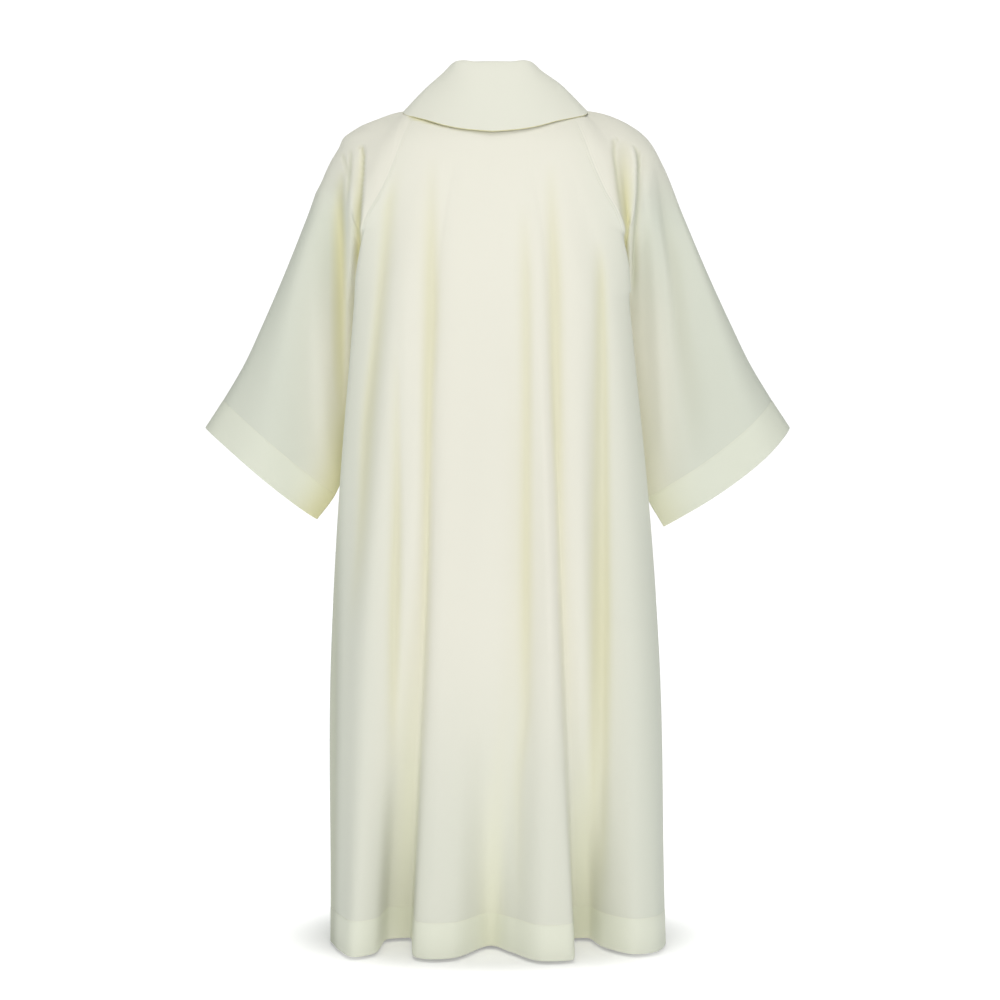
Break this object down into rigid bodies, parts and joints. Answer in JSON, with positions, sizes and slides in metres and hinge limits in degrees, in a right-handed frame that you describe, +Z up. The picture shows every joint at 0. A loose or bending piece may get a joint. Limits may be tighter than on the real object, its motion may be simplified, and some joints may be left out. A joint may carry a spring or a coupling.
{
  "type": "alb with a fold-over collar",
  "caption": "Long cream alb in worn form: raglan bell sleeves, fold-over collar, skirt in soft vertical folds to a turned-up hem.",
  "frame": {"origin": "middle of the neck opening at the height where the collar's seam crosses the shoulders", "axes": "+Z up the standing garment, -Y out of the wearer's back, +X towards the wearer's right as seen from behind it"},
  "size_m": [1.0232, 0.3686, 1.5092],
  "materials": {
    "back": "matt plain weave, cream",
    "front": "matt plain weave, cream",
    "sleeve_left": "matt plain weave, cream",
    "sleeve_right": "matt plain weave, cream",
    "collar": "matt plain weave, cream"
  },
  "bodies": {
    "root": {"back": "back", "front": "front", "sleeve_left": "sleeve_left", "sleeve_right": "sleeve_right", "collar": "collar"}
  },
  "joints": []
}
